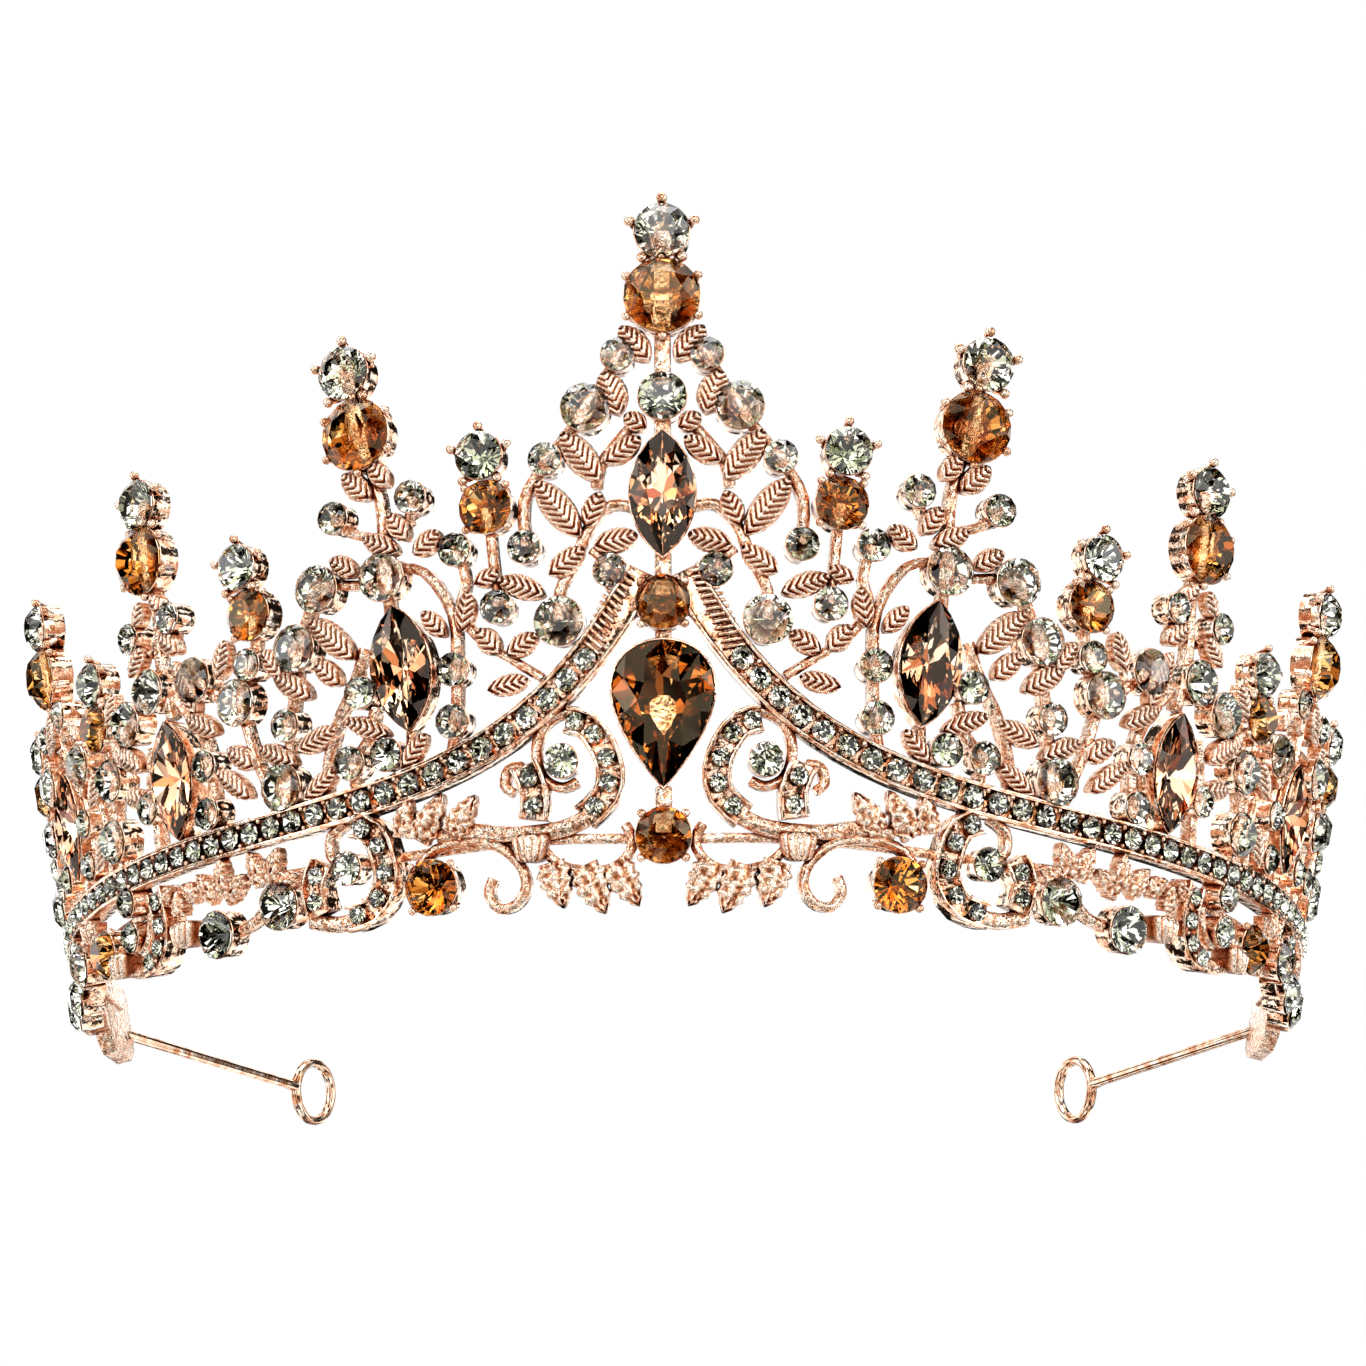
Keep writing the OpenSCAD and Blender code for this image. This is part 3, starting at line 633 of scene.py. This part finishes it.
def ribbon_hatching(name, material):
    """Bars across the ribbon's upper stretch, from its highest stone up to its top end."""
    pitch = 0.62 * MM
    half_span = 1.0 * MM
    bm = bmesh.new()
    stones = seats("ribbon_stones")
    for points, _ in solids("ribbon_band"):
        side = np.sign(points[:, 0].mean())
        row = [s for s in stones if side * s.middle @ s.axes[:, 0] > 0]
        row.sort(key=lambda s: -(s.middle @ s.axes)[2])
        first, second = [(s.middle + (0, 0, s.girdle)) @ s.axes for s in row[:2]]
        out = row[0].axes[2]
        highest = points[points[:, 2] > points[:, 2].max() - 0.9 * MM].mean(axis=0)
        top = highest - out * ((highest - first) @ out)
        way = top - first
        count = int(np.linalg.norm(way) / pitch)
        across = np.cross(out, way)
        across = across / np.linalg.norm(across)
        for i in range(2, count):
            middle = first + way * i / count - out * 0.12 * MM
            slant = way / np.linalg.norm(way) * 0.3 * MM
            add_bar(bm, middle - across * half_span - slant, middle + across * half_span + slant,
                    out, 0.2 * MM)
    return new_piece(name, finished_mesh(name, bm), [], material, 50)


def wire_loop(name, node, material):
    """A round wire arm with a ring of the same wire on its end."""
    arm, ring = sorted(solids(node), key=lambda one: -np.ptp(one[0], axis=0).max())
    low = ring[0].min(axis=0)
    high = ring[0].max(axis=0)
    centre = (low + high) / 2
    spread = ring[0] - centre
    _, ways = np.linalg.eigh(spread.T @ spread)
    axis = ways[:, 0]
    thick = np.ptp(spread @ axis) / 2
    flat = spread - np.outer(spread @ axis, axis)
    reach = np.linalg.norm(flat, axis=1)
    hole = reach.min()
    wire = (reach.max() - hole) / 2
    along = np.cross(axis, UPRIGHT)
    along = along / np.linalg.norm(along)
    turn = Matrix(np.array((along, np.cross(axis, along), axis)).T.tolist()).to_4x4()
    turn.translation = Vector(centre)
    bm = bmesh.new()
    around = 72
    sides = 16
    loops = []
    for i in range(around):
        a = 2 * math.pi * i / around
        loop = []
        for k in range(sides):
            b = 2 * math.pi * k / sides
            r = hole + wire + wire * math.cos(b)
            loop.append(bm.verts.new(turn @ Vector((r * math.cos(a), r * math.sin(a),
                                                    thick * math.sin(b)))))
        loops.append(loop)
    for i in range(around):
        lower = loops[i]
        upper = loops[(i + 1) % around]
        for k in range(sides):
            m = (k + 1) % sides
            bm.faces.new((lower[k], lower[m], upper[m], upper[k]))
    middle = arm[0].mean(axis=0)
    _, ways = np.linalg.eigh((arm[0] - middle).T @ (arm[0] - middle))
    way = ways[:, 2] * np.sign(ways[:, 2] @ (centre - middle))
    shares = (arm[0] - middle) @ way
    start = middle + way * shares.min()
    length = np.linalg.norm(centre - start) - hole - wire
    side = np.cross(UPRIGHT, way)
    place = Matrix(np.array((side, np.cross(way, side), way)).T.tolist()).to_4x4()
    place.translation = Vector(start)
    profile = [(wire * 0.9, 0), (wire, wire * 0.4), (wire, length * 0.5), (wire, length * 0.93),
               (wire * 1.25, length * 0.985), (wire * 1.1, length)]
    add_rings(bm, place, turned_rings(profile, 24))
    return new_piece(name, finished_mesh(name, bm), [node], material, 60)


# ---- Materials ----
def new_material(name):
    material = bpy.data.materials.new(name)
    material.use_nodes = True
    nodes = material.node_tree.nodes
    return material, nodes, material.node_tree.links, nodes["Principled BSDF"]


def noise(nodes, links, scale, detail=3.0, roughness=0.55):
    place = nodes.new("ShaderNodeTexCoord")
    texture = nodes.new("ShaderNodeTexNoise")
    texture.inputs["Scale"].default_value = scale
    texture.inputs["Detail"].default_value = detail
    texture.inputs["Roughness"].default_value = roughness
    links.new(place.outputs["Object"], texture.inputs["Vector"])
    return texture


def ramp(nodes, links, source, stops):
    node = nodes.new("ShaderNodeValToRGB")
    elements = node.color_ramp.elements
    while len(elements) < len(stops):
        elements.new(0.5)
    for element, (position, colour) in zip(elements, stops):
        element.position = position
        element.color = (*colour, 1)
    links.new(source, node.inputs["Fac"])
    return node


def spread_value(nodes, links, source, low, high, from_low=0.3, from_high=0.7):
    node = nodes.new("ShaderNodeMapRange")
    node.inputs["From Min"].default_value = from_low
    node.inputs["From Max"].default_value = from_high
    node.inputs["To Min"].default_value = low
    node.inputs["To Max"].default_value = high
    links.new(source, node.inputs["Value"])
    return node


def multiplied(nodes, links, first, second):
    """The product of two colours. A Mix node keeps its colour sockets at places 6 and 7, and its
    colour result at place 2."""
    mix = nodes.new("ShaderNodeMix")
    mix.data_type = "RGBA"
    mix.blend_type = "MULTIPLY"
    mix.inputs[0].default_value = 1
    links.new(first, mix.inputs[6])
    links.new(second, mix.inputs[7])
    return mix.outputs[2]


def rose_gold(name, grain, depth, rough_low, rough_high, grooves=False):
    """Rose-gold plating over cast metal, with painted shade in its hollows and crevices. grain is
    the bumps' count per metre. grooves takes the hollows from the mesh's own pattern, not the
    bumps."""
    material, nodes, links, metal = new_material(name)
    metal.inputs["Metallic"].default_value = 1
    cast = noise(nodes, links, grain, 2.5)
    if grooves:
        pattern = nodes.new("ShaderNodeVertexColor")
        pattern.layer_name = RECESS
        height_for_painted_shade = pattern.outputs["Color"]
        # Painted shade: dark red-brown in the pattern's hollows, pale on its ridges
        stops = [(0.05, (0.22, 0.06, 0.02)), (0.4, (0.66, 0.30, 0.16)),
                 (0.7, (0.95, 0.66, 0.48)), (1.0, (1.0, 0.86, 0.74))]
    else:
        height_for_painted_shade = cast.outputs["Fac"]
        # Painted shade: darker where the cast bumps dip, pale where they rise
        stops = [(0.34, (0.56, 0.25, 0.13)), (0.45, (0.86, 0.52, 0.35)),
                 (0.53, (0.95, 0.68, 0.51)), (0.64, (1.0, 0.84, 0.71))]
    colours = ramp(nodes, links, height_for_painted_shade, stops)
    # Painted shade: an occlusion node darkens the colour in crevices and between stones, cups and
    # leaves
    crevices = nodes.new("ShaderNodeAmbientOcclusion")
    crevices.samples = 6
    crevices.inputs["Distance"].default_value = 0.7 * MM
    crevice_shade = ramp(nodes, links, crevices.outputs["AO"], [
        (0.3, (0.16, 0.05, 0.02)), (0.55, (0.62, 0.42, 0.32)), (0.8, (1.0, 1.0, 1.0))])
    shaded_colour = multiplied(nodes, links, colours.outputs["Color"], crevice_shade.outputs["Color"])
    links.new(shaded_colour, metal.inputs["Base Color"])
    wear = noise(nodes, links, 900, 5)
    rough = spread_value(nodes, links, wear.outputs["Fac"], rough_low, rough_high)
    links.new(rough.outputs["Result"], metal.inputs["Roughness"])
    bump = nodes.new("ShaderNodeBump")
    bump.inputs["Strength"].default_value = 1
    bump.inputs["Distance"].default_value = depth
    links.new(cast.outputs["Fac"], bump.inputs["Height"])
    links.new(bump.outputs["Normal"], metal.inputs["Normal"])
    return material


def stone_glass(name, tint, index):
    """Cut glass with a faint veil of polishing haze."""
    material, nodes, links, glass = new_material(name)
    glass.inputs["Specular Tint"].default_value = (*tint, 1)
    glass.inputs["Transmission Weight"].default_value = 1
    glass.inputs["IOR"].default_value = index
    glass.inputs["Roughness"].default_value = 0
    haze = noise(nodes, links, 500, 2)
    shades = ramp(nodes, links, haze.outputs["Fac"], [
        (0.35, tuple(0.93 * part for part in tint)), (0.6, tint)])
    links.new(shades.outputs["Color"], glass.inputs["Base Color"])
    return material


def stone_foil(name, stops):
    """The mirror foil behind a stone, with painted shade and reflection: each facet behind has its
    own brightness, from dark to bright.
    """
    material, nodes, links, foil = new_material(name)
    foil.inputs["Metallic"].default_value = 1
    foil.inputs["Roughness"].default_value = 0.02
    facet = nodes.new("ShaderNodeVertexColor")
    facet.layer_name = FACET_SHADE
    colours = ramp(nodes, links, facet.outputs["Color"], stops)
    links.new(colours.outputs["Color"], foil.inputs["Base Color"])
    return material


GOLD = rose_gold("Rose gold, polished", 1500, 0.00022, 0.06, 0.2)
GOLD_LEAF = rose_gold("Rose gold, ribbed leaves", 2600, 0.00012, 0.08, 0.22, grooves=True)
GOLD_CUP = rose_gold("Rose gold, cups", 900, 0.00012, 0.06, 0.16)
GOLD_WIRE = rose_gold("Rose gold, drawn wire", 700, 0.00004, 0.08, 0.20)
CLEAR_GLASS = stone_glass("Clear cut glass", (1, 1, 1), 1.56)
# Each foil's ramp turns the facets' painted shade into dark, mid and bright colours
CLEAR_FOIL = stone_foil("Silver foil", [
    (0.08, (0.04, 0.04, 0.03)), (0.2, (0.48, 0.50, 0.34)), (0.45, (0.86, 0.88, 0.76)),
    (0.6, (1.0, 1.0, 0.97))])
CHAMPAGNE_GLASS = stone_glass("Champagne cut glass", (0.96, 0.72, 0.42), 1.5)
CHAMPAGNE_FOIL = stone_foil("Champagne foil", [
    (0.0, (0.10, 0.03, 0.005)), (0.3, (0.42, 0.16, 0.03)), (0.6, (0.86, 0.50, 0.18)),
    (0.9, (1.0, 0.86, 0.62))])
PEACH_GLASS = stone_glass("Peach cut glass", (1.0, 0.80, 0.66), 1.5)
PEACH_FOIL = stone_foil("Peach foil", [
    (0.1, (0.14, 0.03, 0.01)), (0.2, (0.62, 0.26, 0.11)), (0.38, (1.0, 0.64, 0.42)),
    (0.7, (1.0, 0.92, 0.80))])
PEAR_FOIL = stone_foil("Dark champagne foil", [
    (0.0, (0.06, 0.015, 0.005)), (0.4, (0.32, 0.10, 0.02)), (0.7, (0.80, 0.42, 0.16)),
    (0.95, (1.0, 0.84, 0.64))])


# ---- The tiara's pieces ----
ROUND_CUT = Cut()
PAVE_CUT = Cut(depth=0.46)
MARQUISE_CUT = Cut(table=0.46, crown=0.45, belt=0.78, depth=0.62, keel=0.3, culet_shade=0.7)
PEAR_CUT = Cut(table=0.48, crown=0.38, belt=0.80, depth=0.5, keel=0.4, culet_shade=0.3)


def make_stones():
    for size, facets in (("large", 16), ("medium", 16), ("small", 12)):
        node = "clear_stones_" + size
        round_gems(node.capitalize(), node, ROUND_CUT, CLEAR_GLASS, CLEAR_FOIL,
                   facets)
    for node in ("ribbon_stones", "scroll_stones"):
        round_gems(node.capitalize(), node, PAVE_CUT, CLEAR_GLASS, CLEAR_FOIL,
                   12, 0.06 * MM, proud=True)
    for size in ("large", "small"):
        node = "champagne_stones_" + size
        round_gems(node.capitalize(), node, ROUND_CUT, CHAMPAGNE_GLASS,
                   CHAMPAGNE_FOIL)
    marquise_gems("Marquise_stones", "marquise_stones", MARQUISE_CUT,
                  PEACH_GLASS, PEACH_FOIL)
    pear_gem("Pear_stone", "pear_stone", PEAR_CUT, CHAMPAGNE_GLASS,
             PEAR_FOIL)


def make_cups():
    for node in ("champagne_cups_large", "champagne_cups_small", "clear_cups_large",
                 "clear_cups_medium", "clear_cups_small"):
        cups(node.capitalize(), node, LIP, GOLD_CUP)
    claws("Tip_claws", "tip_claws", ["clear_cups_large", "clear_cups_medium"], 1.2 * MM,
          GOLD_CUP)
    claws("Cup_claws", "cup_claws", ["champagne_cups_large", "champagne_cups_small"], 1.6 * MM,
          GOLD_CUP)
    bezels("Marquise_bezels", "marquise_bezels", marquise_wall, 0.24 * MM, GOLD_CUP)
    bezels("Pear_bezel", "pear_bezel", pear_wall, 0.26 * MM, GOLD_CUP)


def make_metal():
    for node in ("crest_leaves", "tall_spire_leaves", "short_spire_leaves"):
        leaves(node.capitalize(), node, GOLD_LEAF)
    leaves("Bow_leaves", "bow_leaves", GOLD_LEAF, tip=-1, broader=1.35, longer=1)
    leaves("Acanthus_leaves", "acanthus_leaves", GOLD_LEAF, tip=1, broader=1.3)
    for node in ("crest_stems", "tall_spire_stems", "short_spire_stems", "curls", "scroll_tails"):
        rounded(node.capitalize(), node, GOLD, 0.2 * MM)
    rounded("Centre_spine", "centre_spine", GOLD, 0.25 * MM)
    for node in ("ribbon_band", "scrolls"):
        rounded(node.capitalize(), node, GOLD_CUP, 0.12 * MM, sharper_than=40)
    shells("Shells", "shells", GOLD_LEAF)
    rounded("Back_rail", "back_rail", GOLD, 0.25 * MM)
    rounded("End_plates", "end_plates", GOLD, 0.3 * MM)
    bead_rows("Ribbon_beads", "ribbon_stones", 0.88 * MM, 0.24 * MM, 2.7 * MM, GOLD)
    bead_rows("Scroll_beads", "scroll_stones", 0.72 * MM, 0.2 * MM, 3.2 * MM, GOLD)
    ribbon_hatching("Ribbon_hatching", GOLD)
    for node in ("loop_arm_left", "loop_arm_right"):
        wire_loop(node.capitalize(), node, GOLD_WIRE)


# ---- Camera, light and floor ----
def make_camera():
    """The photograph's own viewing angle, from in front and a little below."""
    data = bpy.data.cameras.new("Camera")
    data.lens = 50.06
    data.sensor_width = 36
    data.clip_start = 0.005
    camera = bpy.data.objects.new("Camera", data)
    bpy.context.scene.collection.objects.link(camera)
    pitch = 0.415
    yaw = -0.032
    roll = 0.004
    forward = Vector((math.sin(yaw) * math.cos(pitch), math.cos(yaw) * math.cos(pitch),
                      math.sin(pitch)))
    camera.location = (0.0067, -0.1999, -0.0480)
    turn = forward.to_track_quat("-Z", "Y") @ Matrix.Rotation(roll, 3, "Z").to_quaternion()
    camera.rotation_mode = "QUATERNION"
    camera.rotation_quaternion = turn
    bpy.context.scene.camera = camera


def softbox(name, place, size, brightness, target=(0, 0, 0.03)):
    """A rectangular studio light that faces the tiara. brightness is what a mirror shows."""
    data = bpy.data.lights.new(name, "AREA")
    data.shape = "RECTANGLE"
    data.size, data.size_y = size
    data.energy = brightness * math.pi * size[0] * size[1]
    lamp = bpy.data.objects.new(name, data)
    bpy.context.scene.collection.objects.link(lamp)
    lamp.location = place
    lamp.rotation_mode = "QUATERNION"
    lamp.rotation_quaternion = (Vector(target) - Vector(place)).to_track_quat("-Z", "Y")
    lamp.visible_camera = False


def make_lights():
    softbox("Front_box", (0.0, -0.75, 0.10), (0.45, 0.30), 2.6)
    softbox("Top_box", (0.0, -0.15, 0.80), (0.60, 0.35), 5.0)
    softbox("Left_box", (-0.75, -0.35, 0.25), (0.25, 0.55), 4.0)
    softbox("Right_box", (0.75, -0.30, 0.25), (0.25, 0.55), 4.0)
    softbox("Back_box", (0.0, 0.80, 0.30), (0.60, 0.25), 0.9)


def make_world():
    """White where the camera looks, and soft white panels with dark gaps between them where
    the metal and the stones reflect the studio."""
    world = bpy.data.worlds.new("Studio")
    world.use_nodes = True
    bpy.context.scene.world = world
    nodes = world.node_tree.nodes
    links = world.node_tree.links
    room = nodes["Background"]
    white = nodes.new("ShaderNodeBackground")
    white.inputs["Color"].default_value = (1, 1, 1, 1)
    white.inputs["Strength"].default_value = 1.0
    place = nodes.new("ShaderNodeTexCoord")
    panels = nodes.new("ShaderNodeTexNoise")
    panels.inputs["Scale"].default_value = 3.2
    panels.inputs["Detail"].default_value = 1.0
    links.new(place.outputs["Generated"], panels.inputs["Vector"])
    shade = ramp(nodes, links, panels.outputs["Fac"], [
        (0.47, (0.006, 0.005, 0.004)), (0.50, (0.16, 0.14, 0.12)), (0.53, (1.0, 0.99, 0.97))])
    links.new(shade.outputs["Color"], room.inputs["Color"])
    room.inputs["Strength"].default_value = 1.7
    path = nodes.new("ShaderNodeLightPath")
    mix = nodes.new("ShaderNodeMixShader")
    links.new(path.outputs["Is Camera Ray"], mix.inputs["Fac"])
    links.new(room.outputs["Background"], mix.inputs[1])
    links.new(white.outputs["Background"], mix.inputs[2])
    links.new(mix.outputs["Shader"], nodes["World Output"].inputs["Surface"])


def make_floor():
    """A pale floor that is seen from above only, because the main camera looks up from below it.
    Metal and stones don't mirror it."""
    size = 1.5
    bm = bmesh.new()
    level = cad_box[0].z - 0.05 * MM
    corners = [(-size, -size), (size, -size), (size, size), (-size, size)]
    bm.faces.new([bm.verts.new((x, y, level)) for x, y in corners])
    mesh = bpy.data.meshes.new("Floor")
    bm.to_mesh(mesh)
    bm.free()
    material, nodes, links, paint = new_material("Pale floor")
    grain = noise(nodes, links, 30, 4)
    colours = ramp(nodes, links, grain.outputs["Fac"], [
        (0.4, (0.50, 0.50, 0.495)), (0.6, (0.54, 0.54, 0.535))])
    links.new(colours.outputs["Color"], paint.inputs["Base Color"])
    paint.inputs["Roughness"].default_value = 0.7
    below = nodes.new("ShaderNodeNewGeometry")
    see_through = nodes.new("ShaderNodeBsdfTransparent")
    mix = nodes.new("ShaderNodeMixShader")
    links.new(below.outputs["Backfacing"], mix.inputs["Fac"])
    links.new(paint.outputs["BSDF"], mix.inputs[1])
    links.new(see_through.outputs["BSDF"], mix.inputs[2])
    links.new(mix.outputs["Shader"], nodes["Material Output"].inputs["Surface"])
    mesh.materials.append(material)
    floor = bpy.data.objects.new("Floor", mesh)
    bpy.context.scene.collection.objects.link(floor)
    floor.visible_glossy = False
    floor.visible_transmission = False


make_camera()
make_lights()
make_world()
make_floor()
bpy.context.scene.view_settings.view_transform = "Standard"
make_stones()
make_cups()
make_metal()
